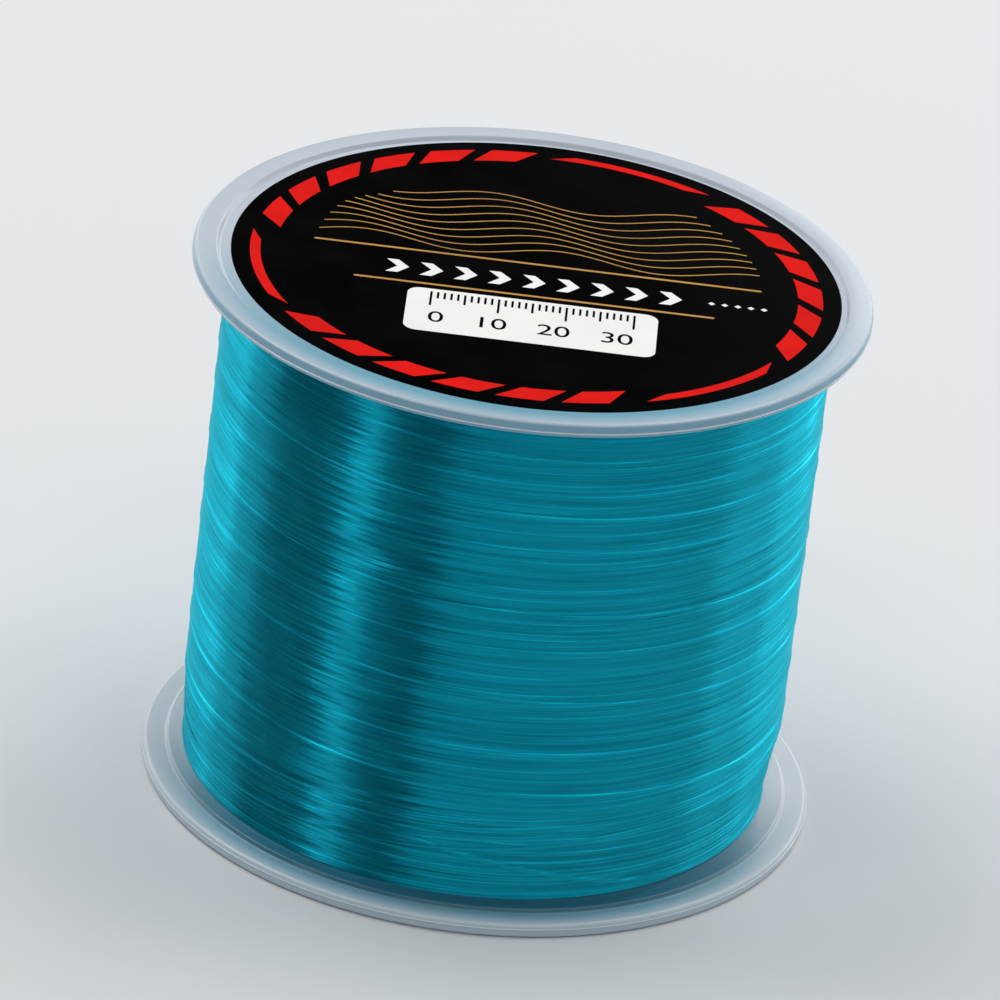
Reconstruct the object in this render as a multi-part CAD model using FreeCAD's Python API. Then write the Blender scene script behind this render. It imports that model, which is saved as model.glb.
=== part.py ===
"""Spool of nylon fishing line: a two-piece snap-together drum, its round label and the wound line.

The spool stands on its lower flange. Z runs up the spindle axis and the origin lies on the axis, in the
plane that the lower rim stands on. All sizes are in millimetres and all angles in degrees.
"""
import FreeCAD, Part
import math
import os

# Overall
flange_diameter = 52.0
overall_height = 43.4

# Flanges: a bevelled rim, and a web set inwards by the depth of the label's recess
rim_thickness = 1.15
rim_bevel = 0.3
recess_diameter = 48.0
recess_depth = 0.5
web_thickness = 1.0
web_step_slope = 0.4

# Drum that the line is wound on, in two halves that lap and snap together at mid-height
drum_diameter = 38.0
drum_wall = 1.6
lap_length = 4.0
lap_wall = 0.8
lap_clearance = 0.05
seat_gap = 0.1

# Spindle tube on the lower half, the ribs that carry it and the upper half's collar round its end
bore_diameter = 10.0
tube_wall = 1.2
collar_wall = 1.0
collar_length = 4.0
collar_clearance = 0.1
rib_count = 4
rib_thickness = 1.0
rib_inset = 1.0
gusset_height = 8.0

# Snap hooks on the upper half and their windows in the lower half's drum wall
hook_count = 4
hook_span = 18.0
hook_thickness = 1.1
hook_length = 6.0
barb_height = 2.0
barb_reach = 1.0
hook_clearance = 0.1
window_clearance = 0.15
window_span = 21.0

# Label
label_diameter = 46.6
label_thickness = 0.15
label_offset_x = 0.21
label_offset_y = 0.38

# Line and its winding, which is full width down to a shoulder above the lower flange
line_diameter = 0.45
winding_diameter = 46.6
winding_clearance = 0.05
shoulder_height = 6.8
shoulder_drop = 0.9

# Outermost layer: fewer turns than the real one's, so that no turn touches the next
turn_count = 8.5
line_sides = 4
line_clearance = 0.03
top_turn_gap = 0.4
lowest_turn_height = 5.6
start_angle = 54.0
line_bend_radius = 0.6
start_pocket_diameter = 1.2
gap_check_count = 36

# Running end: down the shoulder, along the lower flange and down a hole at the end of a slit in the rim
tail_radius = 22.4
hole_diameter = 1.0
slit_width = 0.35
line_end_height = 0.15

# Radii and levels that follow
flange_radius = flange_diameter / 2
recess_radius = recess_diameter / 2
drum_radius = drum_diameter / 2
drum_inner_radius = drum_radius - drum_wall
socket_radius = drum_radius - lap_wall
bore_radius = bore_diameter / 2
tube_radius = bore_radius + tube_wall
line_radius = line_diameter / 2
winding_radius = winding_diameter / 2
core_radius = winding_radius - line_diameter - line_clearance
web_face = recess_depth + web_thickness
upper_web_face = overall_height - web_face
joint_height = overall_height / 2
lap_bottom = joint_height - lap_length

axis_start = FreeCAD.Vector(0, 0, 0)
up = FreeCAD.Vector(0, 0, 1)


def turned(steps, angle=360.0):
    """The solid that a closed outline of (radius, height) steps sweeps about the spool's axis."""
    points = [FreeCAD.Vector(r, 0, z) for r, z in steps]
    section = Part.Face(Part.makePolygon(points + points[:1]))
    return section.revolve(axis_start, up, angle)


def around(shape, angle):
    """A copy of a shape turned about the spool's axis."""
    copy = shape.copy()
    copy.rotate(axis_start, up, angle)
    return copy


def middle_turned(steps, angle):
    """A sector of a turned shape with its middle on the X axis."""
    return around(turned(steps, angle), -angle / 2)


def evenly_spaced(shape, count, first_angle=0.0):
    """Copies of a shape at even angles about the spool's axis."""
    return [around(shape, first_angle + i * 360.0 / count) for i in range(count)]


def outwards(angle):
    """The direction away from the axis at an angle."""
    return FreeCAD.Vector(math.cos(math.radians(angle)), math.sin(math.radians(angle)), 0)


def sideways(angle):
    """The direction of increasing angle."""
    return outwards(angle + 90)


def flange_steps():
    """The lower flange's section, from the recess floor round the rim to the face that holds the line."""
    return [
        (recess_radius, recess_depth),
        (recess_radius, 0),
        (flange_radius - rim_bevel, 0),
        (flange_radius, rim_bevel),
        (flange_radius, rim_thickness - rim_bevel),
        (flange_radius - rim_bevel, rim_thickness),
        (recess_radius + web_step_slope, rim_thickness),
        (recess_radius, web_face),
        (drum_radius, web_face),
    ]


def mirrored(steps):
    """The same section for the upper half, measured down from the top of the spool."""
    return [(r, overall_height - z) for r, z in steps]


def radial_rib(inner, outer, bottom, top):
    """A rib on the X axis between two radii and two heights."""
    rib = Part.makeBox(outer - inner, rib_thickness, top - bottom)
    rib.translate(FreeCAD.Vector(inner, -rib_thickness / 2, bottom))
    return rib


def snap_hook():
    """A springy finger below the upper half's spigot, with a barb on its outside."""
    outer = drum_inner_radius - hook_clearance
    inner = outer - hook_thickness
    tip = lap_bottom - hook_length
    catch = tip + barb_height
    spigot = (drum_inner_radius + socket_radius) / 2
    return middle_turned(
        [
            (inner, joint_height),
            (inner, tip),
            (outer - hook_thickness / 2, tip),
            (drum_inner_radius + barb_reach, catch - barb_height / 4),
            (drum_inner_radius + barb_reach, catch),
            (outer, catch),
            (outer, lap_bottom + seat_gap),
            (spigot, lap_bottom + seat_gap),
            (spigot, joint_height),
        ],
        hook_span,
    )


def hook_window():
    """The opening in the lower half's drum wall that a barb snaps into."""
    tip = lap_bottom - hook_length
    bottom = tip - window_clearance
    top = tip + barb_height + window_clearance
    inner = drum_inner_radius - drum_wall
    outer = drum_radius + drum_wall
    return middle_turned([(inner, bottom), (outer, bottom), (outer, top), (inner, top)], window_span)


def rim_slit():
    """A slit in from the rim's edge that ends in a round hole for the running end."""
    through = web_face + web_thickness
    radius, angle = hole_place()
    hole = Part.makeCylinder(hole_diameter / 2, through, FreeCAD.Vector(radius, 0, -recess_depth))
    slit = Part.makeBox(flange_radius, slit_width, through)
    slit.translate(FreeCAD.Vector(radius, -slit_width / 2, -recess_depth))
    return around(hole.fuse(slit), angle)


def lower_spool_half():
    """Lower flange, lower half of the drum with the lap's socket, and the spindle tube on its ribs."""
    shell = turned(
        [(drum_inner_radius, recess_depth)]
        + flange_steps()
        + [
            (drum_radius, joint_height),
            (socket_radius, joint_height),
            (socket_radius, lap_bottom),
            (drum_inner_radius, lap_bottom),
        ]
    )
    tube_top = upper_web_face - seat_gap
    tube = turned(
        [
            (bore_radius, recess_depth),
            (tube_radius, recess_depth),
            (tube_radius, tube_top),
            (bore_radius, tube_top),
        ]
    )
    rib = radial_rib(
        bore_radius + tube_wall / 2,
        drum_inner_radius + lap_wall / 2,
        recess_depth + rib_inset,
        lap_bottom - seat_gap,
    )
    windows = evenly_spaced(hook_window(), hook_count, 180.0 / hook_count)
    body = shell.fuse([tube] + evenly_spaced(rib, rib_count))
    return body.cut(windows + [rim_slit()]).removeSplitter()


def upper_spool_half():
    """Upper flange with its closed web, upper half of the drum with the lap's spigot, and the hooks."""
    spigot_radius = socket_radius - lap_clearance
    collar_inner = tube_radius + collar_clearance
    collar_outer = collar_inner + collar_wall
    collar_bottom = upper_web_face - collar_length
    shell = turned(
        [(bore_radius, overall_height - recess_depth)]
        + mirrored(flange_steps())
        + [
            (drum_radius, joint_height + seat_gap),
            (spigot_radius, joint_height + seat_gap),
            (spigot_radius, lap_bottom + seat_gap),
            (drum_inner_radius, lap_bottom + seat_gap),
            (drum_inner_radius, upper_web_face),
            (collar_outer, upper_web_face),
            (collar_outer, collar_bottom),
            (collar_inner, collar_bottom),
            (collar_inner, upper_web_face),
            (bore_radius, upper_web_face),
        ]
    )
    gusset = radial_rib(
        collar_inner + collar_wall / 2,
        drum_inner_radius + drum_wall / 2,
        upper_web_face - gusset_height,
        upper_web_face + web_thickness / 2,
    )
    hooks = evenly_spaced(snap_hook(), hook_count, 180.0 / hook_count)
    return shell.fuse(evenly_spaced(gusset, rib_count) + hooks).removeSplitter()


def top_label():
    """A round sticker, a little off centre in the upper flange's recess."""
    floor = overall_height - recess_depth
    centre = FreeCAD.Vector(label_offset_x, label_offset_y, floor)
    return Part.makeCylinder(label_diameter / 2, label_thickness, centre)


def shoulder_fall(height):
    """How far the winding's outside lies inside its full radius at a height."""
    below = web_face + shoulder_height - height
    return max(0.0, below / shoulder_height) * shoulder_drop


def line_inner_layers():
    """The wound line under its outermost layer, as one ring between the flanges."""
    bottom = web_face + winding_clearance
    top = upper_web_face - winding_clearance
    inner = drum_radius + winding_clearance
    ring = turned(
        [
            (inner, bottom),
            (core_radius - shoulder_fall(bottom), bottom),
            (core_radius, web_face + shoulder_height),
            (core_radius, top),
            (inner, top),
        ]
    )
    return ring.cut(start_pocket())


def start_pocket():
    """The gap in the inner layers that the outermost layer's first turn comes up through."""
    depth = 2 * line_bend_radius + line_diameter
    side_shift = line_bend_radius - start_pocket_diameter / 4
    foot = outwards(start_angle) * (core_radius - depth) - sideways(start_angle) * side_shift
    foot.z = top_turn_height()
    return Part.makeCylinder(start_pocket_diameter / 2, 2 * depth, foot, outwards(start_angle))


def top_turn_height():
    """The height of the outermost layer's first turn."""
    return upper_web_face - top_turn_gap - line_radius


def turn_fall():
    """How far the outermost layer comes down in a quarter turn."""
    return (top_turn_height() - web_face - lowest_turn_height) / (4 * turn_count)


def tail_angle():
    """The angle at which the running end turns down, two quarter turns after the last full turn."""
    return start_angle + 360.0 * turn_count + 180.0


def hole_place():
    """The radius and the angle of the hole that the running end goes down."""
    past = math.degrees(math.atan2(line_bend_radius, tail_radius))
    return math.hypot(tail_radius, line_bend_radius), tail_angle() + past


def knot(angle, radius, height, growth=0.0, fall=0.0):
    """A point of the line and its direction there, with its change of radius and height per quarter."""
    point = outwards(angle) * radius + up * height
    travel = sideways(angle) * (radius * math.pi / 2) + outwards(angle) * growth - up * fall
    travel.normalize()
    return point, travel


def line_knots():
    """Where the outermost layer's line is at each quarter turn, and where it goes there."""
    fall = turn_fall()
    quarters = round(4 * turn_count)
    knots = []
    for i in range(quarters + 1):
        height = top_turn_height() - i * fall
        radius = winding_radius - line_radius - shoulder_fall(height)
        growth = shoulder_fall(height) - shoulder_fall(height - fall)
        knots.append(knot(start_angle + 90.0 * i, radius, height, growth, fall))
    seated = web_face + line_clearance + line_radius
    landing_radius = winding_radius - line_radius - shoulder_fall(seated)
    knots.append(knot(tail_angle() - 90.0, landing_radius, seated))
    knots.append(knot(tail_angle(), tail_radius, seated))
    return knots


def arc_along(start, travel, end):
    """The arc from start to end that sets out along travel."""
    chord = end - start
    side = chord - travel * chord.dot(travel)
    side.normalize()
    radius = chord.dot(chord) / (2 * chord.dot(side))
    centre = start + side * radius
    half_way = start + chord * 0.5 - centre
    half_way.normalize()
    return Part.Arc(start, centre + half_way * radius, end).toShape()


def two_arcs(start, start_travel, end, end_travel):
    """A biarc: two arcs that run on smoothly from each other, with the given directions at the ends."""
    chord = end - start
    reach = chord.dot(start_travel + end_travel)
    bend = 2 * (1 - start_travel.dot(end_travel))
    length = (math.sqrt(reach**2 + bend * chord.dot(chord)) - reach) / bend
    near = start + start_travel * length
    far = end - end_travel * length
    middle_travel = far - near
    middle_travel.normalize()
    middle = near + middle_travel * length
    return [arc_along(start, start_travel, middle), arc_along(middle, middle_travel, end)]


def line_path():
    """The outermost layer's centre line, from the layers beneath it to below the lower flange."""
    knots = line_knots()
    first, first_travel = knots[0]
    last, last_travel = knots[-1]
    out = outwards(start_angle)
    bend_start = first - first_travel * line_bend_radius - out * line_bend_radius
    path = [Part.makeLine(bend_start - out * line_diameter, bend_start), arc_along(bend_start, out, first)]
    for (start, start_travel), (end, end_travel) in zip(knots, knots[1:]):
        path += two_arcs(start, start_travel, end, end_travel)
    bend_end = last + last_travel * line_bend_radius - up * line_bend_radius
    end = FreeCAD.Vector(bend_end.x, bend_end.y, line_end_height)
    return path + [arc_along(last, last_travel, bend_end), Part.makeLine(bend_end, end)]


def line_section(centre, travel):
    """The line's section, with few sides to keep the facets low and a corner towards the outside."""
    across = travel.cross(up)
    corners = []
    for i in range(line_sides):
        a = 2 * math.pi * i / line_sides
        corners.append(centre + (across * math.cos(a) + up * math.sin(a)) * line_radius)
    return Part.makePolygon(corners + corners[:1])


def line_outer_layer():
    """The outermost layer and the running end as one length of line."""
    path = line_path()
    print("least gap of the line to itself", round(least_gap(path), 2), "mm")
    section = line_section(path[0].Vertexes[0].Point, outwards(start_angle))
    return Part.Wire(path).makePipeShell([section], True, False)


def least_gap(path):
    """The least gap between turns, on points spread evenly over each arc of the path."""
    points = []
    for edge in path:
        points += edge.discretize(gap_check_count // 8 + 1)[:-1]
    half_turn = gap_check_count // 2
    nearest = min(
        points[i].distanceToPoint(points[j])
        for i in range(len(points))
        for j in range(i + half_turn, len(points))
    )
    return nearest - line_diameter


def export(name, shape):
    """Writes one piece as a STEP file and prints its volume."""
    if not shape.isValid() or len(shape.Solids) != 1:
        raise ValueError(name + " is not one valid solid")
    shape.exportStep(os.path.join("parts", name + ".step"))
    print(name, round(shape.Volume, 1), "mm3")


if __name__ == "__main__":
    os.makedirs("parts", exist_ok=True)
    export("lower_spool_half", lower_spool_half())
    export("upper_spool_half", upper_spool_half())
    export("top_label", top_label())
    export("line_inner_layers", line_inner_layers())
    export("line_outer_layer", line_outer_layer())
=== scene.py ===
from math import cos, degrees, pi, radians, sin, tan

import bmesh
import bpy
from mathutils import Matrix, Vector


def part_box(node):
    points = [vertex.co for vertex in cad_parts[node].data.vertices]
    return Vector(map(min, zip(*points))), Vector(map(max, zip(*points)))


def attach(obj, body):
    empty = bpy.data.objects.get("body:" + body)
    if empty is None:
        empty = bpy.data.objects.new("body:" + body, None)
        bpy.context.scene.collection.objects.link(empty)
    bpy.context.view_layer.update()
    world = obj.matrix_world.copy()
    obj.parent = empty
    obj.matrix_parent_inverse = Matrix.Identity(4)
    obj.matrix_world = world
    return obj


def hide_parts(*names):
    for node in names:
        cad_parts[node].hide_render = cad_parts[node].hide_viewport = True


# Spool of tinted nylon line: frosted snap-together drum, round sticker, wound line

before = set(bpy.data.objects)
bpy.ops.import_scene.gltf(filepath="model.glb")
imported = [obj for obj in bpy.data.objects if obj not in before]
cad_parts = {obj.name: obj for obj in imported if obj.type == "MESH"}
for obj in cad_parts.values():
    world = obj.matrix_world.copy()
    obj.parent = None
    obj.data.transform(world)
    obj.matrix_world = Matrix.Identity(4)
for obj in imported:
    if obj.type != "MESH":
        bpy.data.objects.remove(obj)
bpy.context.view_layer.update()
mm = 0.001

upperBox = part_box("upper_spool_half")
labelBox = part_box("top_label")
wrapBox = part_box("line_outer_layer")

flangeRadius = upperBox[1][0]
spoolHeight = upperBox[1][2]
woundRadius = wrapBox[1][1]  # outside of the outermost wraps
lineRadius = 0.225 * mm
webFace = 1.5 * mm  # height of the lower flange's face under the line
upperWebFace = spoolHeight - webFace
jointHeight = spoolHeight / 2


# Helpers for meshes

def meshFrom(bm, name):
    mesh = bpy.data.meshes.new(name)
    bm.to_mesh(mesh)
    bm.free()
    return mesh


def finishedMesh(bm, name, sharpAngle=35.0):
    bmesh.ops.remove_doubles(bm, verts=bm.verts, dist=1e-7)
    bmesh.ops.recalc_face_normals(bm, faces=bm.faces)
    mesh = meshFrom(bm, name)
    mesh.polygons.foreach_set("use_smooth", [True] * len(mesh.polygons))
    mesh.set_sharp_from_angle(angle=radians(sharpAngle))
    return mesh


def addObject(name, data):
    thing = bpy.data.objects.new(name, data)
    bpy.context.scene.collection.objects.link(thing)
    return thing


def addPiece(name, mesh, material, nodes):
    mesh.name = name
    mesh.materials.clear()
    mesh.materials.append(material)
    piece = addObject(name, mesh)
    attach(piece, "root")
    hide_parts(*nodes)


def bakedMesh(source, name):
    # the evaluated shape as a plain mesh, its source object removed
    bpy.context.view_layer.update()
    graph = bpy.context.evaluated_depsgraph_get()
    mesh = bpy.data.meshes.new_from_object(source.evaluated_get(graph))
    mesh.name = name
    bpy.data.objects.remove(source)
    return mesh


def filleted(corners):
    # (radius, height, fillet) corners to a closed outline with round corners
    degreesPerStep = 11
    points = []
    for i, (r, z, fillet) in enumerate(corners):
        here = Vector((r, z))
        if not fillet:
            points.append(here)
            continue
        before = (Vector(corners[i - 1][:2]) - here).normalized()
        after = (Vector(corners[(i + 1) % len(corners)][:2]) - here).normalized()
        half = before.angle(after) / 2
        centre = here + (before + after).normalized() * (fillet / sin(half))
        setback = fillet / tan(half)
        first = here + before * setback - centre
        last = here + after * setback - centre
        steps = max(3, round(degrees(pi - 2 * half) / degreesPerStep))
        points += [centre + first.slerp(last, k / steps).normalized() * fillet for k in range(steps + 1)]
    return points


def turnedBmesh(corners, angles, closed):
    # a section with corners in millimetres, turned about the spindle axis from angle to angle
    outline = [p * mm for p in filleted(corners)]
    bm = bmesh.new()
    rings = [[bm.verts.new((p.x * cos(a), p.x * sin(a), p.y)) for p in outline] for a in angles]
    following = rings[1:] + (rings[:1] if closed else [])
    for ring, after in zip(rings, following):
        for j in range(len(outline)):
            k = (j + 1) % len(outline)
            if max(outline[j].x, outline[k].x) > 1e-9:  # an edge on the axis makes no face
                bm.faces.new((ring[j], after[j], after[k], ring[k]))
    if not closed:
        bm.faces.new(rings[0])
        bm.faces.new(rings[-1])
    return bm


def latheBmesh(corners, segments=192):
    bm = turnedBmesh(corners, [2 * pi * i / segments for i in range(segments)], True)
    bmesh.ops.remove_doubles(bm, verts=bm.verts, dist=1e-8)
    bmesh.ops.dissolve_degenerate(bm, edges=bm.edges, dist=1e-8)
    return bm


def sectorBmesh(corners, span, middle, segments=12):
    angles = [radians(middle - span / 2 + span * i / segments) for i in range(segments + 1)]
    return turnedBmesh(corners, angles, False)


def turnAround(bm, angle):
    turn = Matrix.Rotation(radians(angle), 3, "Z")
    bmesh.ops.rotate(bm, verts=bm.verts, cent=(0, 0, 0), matrix=turn)
    return bm


def boxBmesh(low, high, angle, rounding=0.0):
    # a box in millimetres, turned about the spindle axis
    bm = bmesh.new()
    bmesh.ops.create_cube(bm, size=1.0)
    low, high = Vector(low) * mm, Vector(high) * mm
    for v in bm.verts:
        v.co = Vector(low[i] if v.co[i] < 0 else high[i] for i in range(3))
    if rounding:
        bmesh.ops.bevel(bm, geom=bm.edges, offset=rounding * mm, segments=2, affect="EDGES", profile=0.5)
    return turnAround(bm, angle)


def rodBmesh(radius, low, high, place, angle, sides=32):
    bm = bmesh.new()
    bmesh.ops.create_cone(bm, cap_ends=True, segments=sides, radius1=radius * mm, radius2=radius * mm,
                          depth=(high - low) * mm)
    bmesh.ops.translate(bm, verts=bm.verts, vec=Vector((place, 0, (low + high) / 2)) * mm)
    return turnAround(bm, angle)


def moulded(name, body, added, removed):
    # joins the added forms to the body and takes the removed ones out of it
    def toObject(bm):
        bmesh.ops.recalc_face_normals(bm, faces=bm.faces)
        return addObject(name, meshFrom(bm, name))

    piece = toObject(body)
    tools = []
    for operation, forms in (("UNION", added), ("DIFFERENCE", removed)):
        for form in forms:
            step = piece.modifiers.new(operation, "BOOLEAN")
            step.operation = operation
            step.object = toObject(form)
            step.solver = "EXACT"
            tools.append(step.object)
    mesh = bakedMesh(piece, name)
    for tool in tools:
        bpy.data.objects.remove(tool)
    bm = bmesh.new()
    bm.from_mesh(mesh)
    bpy.data.meshes.remove(mesh)
    return finishedMesh(bm, name)


# Helpers for nodes

def connect(socket, value):
    # value is another node's socket, or what the socket holds
    if hasattr(value, "links"):
        socket.id_data.links.new(value, socket)
    else:
        socket.default_value = value


def addNode(tree, kind, inputs=None, **settings):
    # inputs are named or numbered, with values as connect takes them; what comes back is its outputs
    node = tree.nodes.new(kind)
    for key, value in settings.items():
        setattr(node, key, value)
    for key, value in (inputs or {}).items():
        connect(node.inputs[key], value)
    return node.outputs


def maths(tree, operation, *values):
    return addNode(tree, "ShaderNodeMath", dict(enumerate(values)), operation=operation)[0]


def product(tree, first, *others):
    for other in others:
        first = maths(tree, "MULTIPLY", first, other)
    return first


def vectorMaths(tree, operation, *values):
    results = addNode(tree, "ShaderNodeVectorMath", dict(enumerate(values)), operation=operation)
    return results["Value" if operation == "LENGTH" else "Vector"]


def scaled(tree, vector, factor):
    inputs = {"Vector": vector, "Scale": factor}
    return addNode(tree, "ShaderNodeVectorMath", inputs, operation="SCALE")[0]


def combined(tree, x=0.0, y=0.0, z=0.0):
    return addNode(tree, "ShaderNodeCombineXYZ", {0: x, 1: y, 2: z})[0]


def separated(tree, vector):
    return addNode(tree, "ShaderNodeSeparateXYZ", {0: vector})


def mapped(tree, value, start, end, low=0.0, high=1.0, kind="LINEAR"):
    inputs = {"Value": value, "From Min": start, "From Max": end, "To Min": low, "To Max": high}
    return addNode(tree, "ShaderNodeMapRange", inputs, interpolation_type=kind)[0]


def falloff(tree, value, fade):
    # fade is where it starts and ends, and may go on with the values there
    return mapped(tree, value, *fade, kind="SMOOTHSTEP")


def noise(tree, vector, scale, detail=2.0, roughness=0.5):
    inputs = {"Vector": vector, "Scale": scale, "Detail": detail, "Roughness": roughness}
    return addNode(tree, "ShaderNodeTexNoise", inputs)["Fac"]


def rotated(tree, vector, angle):
    inputs = {"Vector": vector, "Angle": angle}
    return addNode(tree, "ShaderNodeVectorRotate", inputs, rotation_type="Z_AXIS")[0]


def attribute(tree, name):
    return addNode(tree, "ShaderNodeAttribute", attribute_name=name)["Fac"]


def objectPlace(tree):
    return addNode(tree, "ShaderNodeTexCoord")["Object"]


def surfaceNormal(tree):
    return addNode(tree, "ShaderNodeNewGeometry")["Normal"]


def flattened(tree, vector):
    return vectorMaths(tree, "MULTIPLY", vector, (1.0, 1.0, 0.0))


def mixColours(tree, factor, first, second, blend="MIX"):
    inputs = {"Factor": factor, 6: first, 7: second}
    return addNode(tree, "ShaderNodeMix", inputs, data_type="RGBA", blend_type=blend)[2]


def linear(red, green, blue):
    # a colour as seen, 0 to 255, as the shader wants it
    def one(c):
        c /= 255
        return c / 12.92 if c <= 0.04045 else ((c + 0.055) / 1.055) ** 2.4
    return one(red), one(green), one(blue), 1.0


def newMaterial(name):
    material = bpy.data.materials.new(name)
    material.use_nodes = True
    tree = material.node_tree
    return material, tree, tree.nodes["Principled BSDF"].inputs


def newTree(name, kind, inputs, outputs):
    # inputs and outputs are names, each with the kind of its socket
    tree = bpy.data.node_groups.new(name, kind)
    for way, sockets in (("INPUT", inputs), ("OUTPUT", outputs)):
        for title, value in sockets.items():
            tree.interface.new_socket(title, in_out=way, socket_type="NodeSocket" + value)
    given, result = tree.nodes.new("NodeGroupInput"), tree.nodes.new("NodeGroupOutput")
    return tree, given.outputs, result.inputs


def shaderGroup(name, numbers, outputs):
    return newTree(name, "ShaderNodeTree", dict.fromkeys(numbers, "Float"), outputs)


def useGroup(tree, group, values):
    return addNode(tree, "ShaderNodeGroup", values, node_tree=group)


# Marks that all materials share

wear = {
    "grainScale": 1400,
    "patchScale": 130,
    "patches": (0.35, 0.75),
    "scratchScale": 160,
    "scratchBend": 34,
    "scratches": (0.985, 1.0),
}


def buildHandlingMarks():
    # small scuffs, dust and a fine grain
    outputs = {"Height": "Float", "Mask": "Float"}
    group, given, result = shaderGroup("handlingMarks", ("Scale", "Grain", "Scuffs"), outputs)
    place = scaled(group, objectPlace(group), given["Scale"])
    waves = {"Vector": place, "Scale": wear["scratchScale"], "Distortion": wear["scratchBend"], "Detail": 2}
    scratch = addNode(group, "ShaderNodeTexWave", waves, wave_type="BANDS", bands_direction="DIAGONAL")
    thin = mapped(group, scratch["Fac"], *wear["scratches"])
    patches = mapped(group, noise(group, place, wear["patchScale"]), *wear["patches"])
    scuffs = product(group, thin, patches, given["Scuffs"])
    grain = product(group, noise(group, place, wear["grainScale"], detail=1), given["Grain"])
    connect(result["Height"], maths(group, "SUBTRACT", grain, scuffs))
    connect(result["Mask"], patches)
    return group


handlingMarks = buildHandlingMarks()


def handled(tree, shader, look):
    # lays the marks on a material that looks so; what comes back is where they are
    marks = useGroup(tree, handlingMarks, look["marks"])
    connect(shader["Roughness"], mapped(tree, marks["Mask"], 0.0, 1.0, *look["roughness"]))
    if "dents" in look:
        inputs = {"Height": marks["Height"], **look["dents"]}
        connect(shader["Normal"], addNode(tree, "ShaderNodeBump", inputs)["Normal"])
    return marks["Mask"]


# Frosted plastic

frosted = {
    "milk": (216, 225, 235),  # colour of the plastic where it is thick
    "clouds": (209, 219, 230),
    "cloudScale": 90,
    "transmission": 0.22,
    "refraction": 1.49,
    "marks": {"Scale": 1.0, "Grain": 0.3},
    "roughness": (0.16, 0.24),
    "dents": {"Strength": 0.25, "Distance": 0.02 * mm},
    "tints": {
        # painted light and shade, each lying over the one before it, with its share
        "low": ((240, 246, 252), 0.75),  # painted light: lighter near the floor, standing in for the floor's light coming through from below
        "beside": ((116, 184, 208), 0.93),  # painted light: teal glow of the line through the thin wall, stronger towards the front
        "facing": ((36, 104, 126), 0.9),  # painted shade and painted reflection of the line: dark teal on the faces that the line lies against, towards the front
        "wall": ((116, 180, 208), 0.8),  # painted light: teal glow from the line leaving through the rim's upright faces, mostly on the upper flange
        # painted highlight along the tip of the parting ridge, mostly on the upper flange
        "ridge": ((240, 246, 250), 1.0),
    },
    "fades": {
        # the heights, radii and leans between which the painted tints come in
        "low": (9 * mm, 2 * mm),
        "high": (10 * mm, 30 * mm, 0.2, 1.0),
        # the painted glow and shade grow towards the front
        "front": (3 * mm, -22 * mm),
        "outward": (flangeRadius + 0.6 * mm, woundRadius + 0.6 * mm),
        "inward": (14 * mm, 19 * mm, 0.3, 1.0),
        "between": (jointHeight - 1.05 * mm, jointHeight - 1.3 * mm),
        "facing": (woundRadius + 2.3 * mm, woundRadius + 0.3 * mm),
        "upright": (0.9, 0.3),
        "wall": (flangeRadius - 1.5 * mm, flangeRadius - 0.5 * mm),
        "ridge": (flangeRadius - 0.08 * mm, flangeRadius - 0.03 * mm),
    },
}


def frostedPlastic():
    material, tree, shader = newMaterial("frosted_plastic")
    handled(tree, shader, frosted)
    place = objectPlace(tree)
    split = separated(tree, place)
    height = split[2]
    r = vectorMaths(tree, "LENGTH", flattened(tree, place))
    fromMiddle = maths(tree, "ABSOLUTE", maths(tree, "SUBTRACT", height, jointHeight))
    lean = separated(tree, surfaceNormal(tree))[2]

    def fade(name, value):
        return falloff(tree, value, frosted["fades"][name])

    front, high = fade("front", split[1]), fade("high", height)
    masks = {
        "low": [fade("low", height)],
        "beside": [fade("outward", r), fade("inward", r), front],
        "facing": [fade("between", fromMiddle), fade("facing", r), front],
        "wall": [fade("upright", lean), fade("wall", r), high],
        "ridge": [fade("ridge", r), high],
    }
    clouds = noise(tree, place, frosted["cloudScale"], detail=3)
    colour = mixColours(tree, clouds, linear(*frosted["milk"]), linear(*frosted["clouds"]))
    # lays the painted light and shade over the plastic's own colour
    for name, (tint, share) in frosted["tints"].items():
        colour = mixColours(tree, product(tree, *masks[name], share), colour, linear(*tint))
    connect(shader["Base Color"], colour)
    shader["Transmission Weight"].default_value = frosted["transmission"]
    shader["IOR"].default_value = frosted["refraction"]
    return material


# Printed film

film = {
    "inks": {
        # each colour fresh and worn
        "film_black": ((2, 2, 2), (8, 8, 9)),
        "ink_red": ((226, 30, 26), (206, 30, 26)),
        "ink_gold": ((196, 150, 84), (170, 128, 72)),
        "ink_white": ((240, 240, 238), (234, 234, 233)),
    },
    "refraction": 1.035,  # low, so that the black reflects little
    "marks": {"Scale": 1.3, "Grain": 0.2, "Scuffs": 0.15},
    "roughness": (0.34, 0.5),
    "dents": {"Strength": 0.2, "Distance": 0.01 * mm},
}


def printedInk(name):
    material, tree, shader = newMaterial(name)
    mask = handled(tree, shader, film)
    fresh, worn = film["inks"][name]
    connect(shader["Base Color"], mixColours(tree, mask, linear(*fresh), linear(*worn)))
    shader["IOR"].default_value = film["refraction"]
    return material


# Tinted nylon

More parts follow.
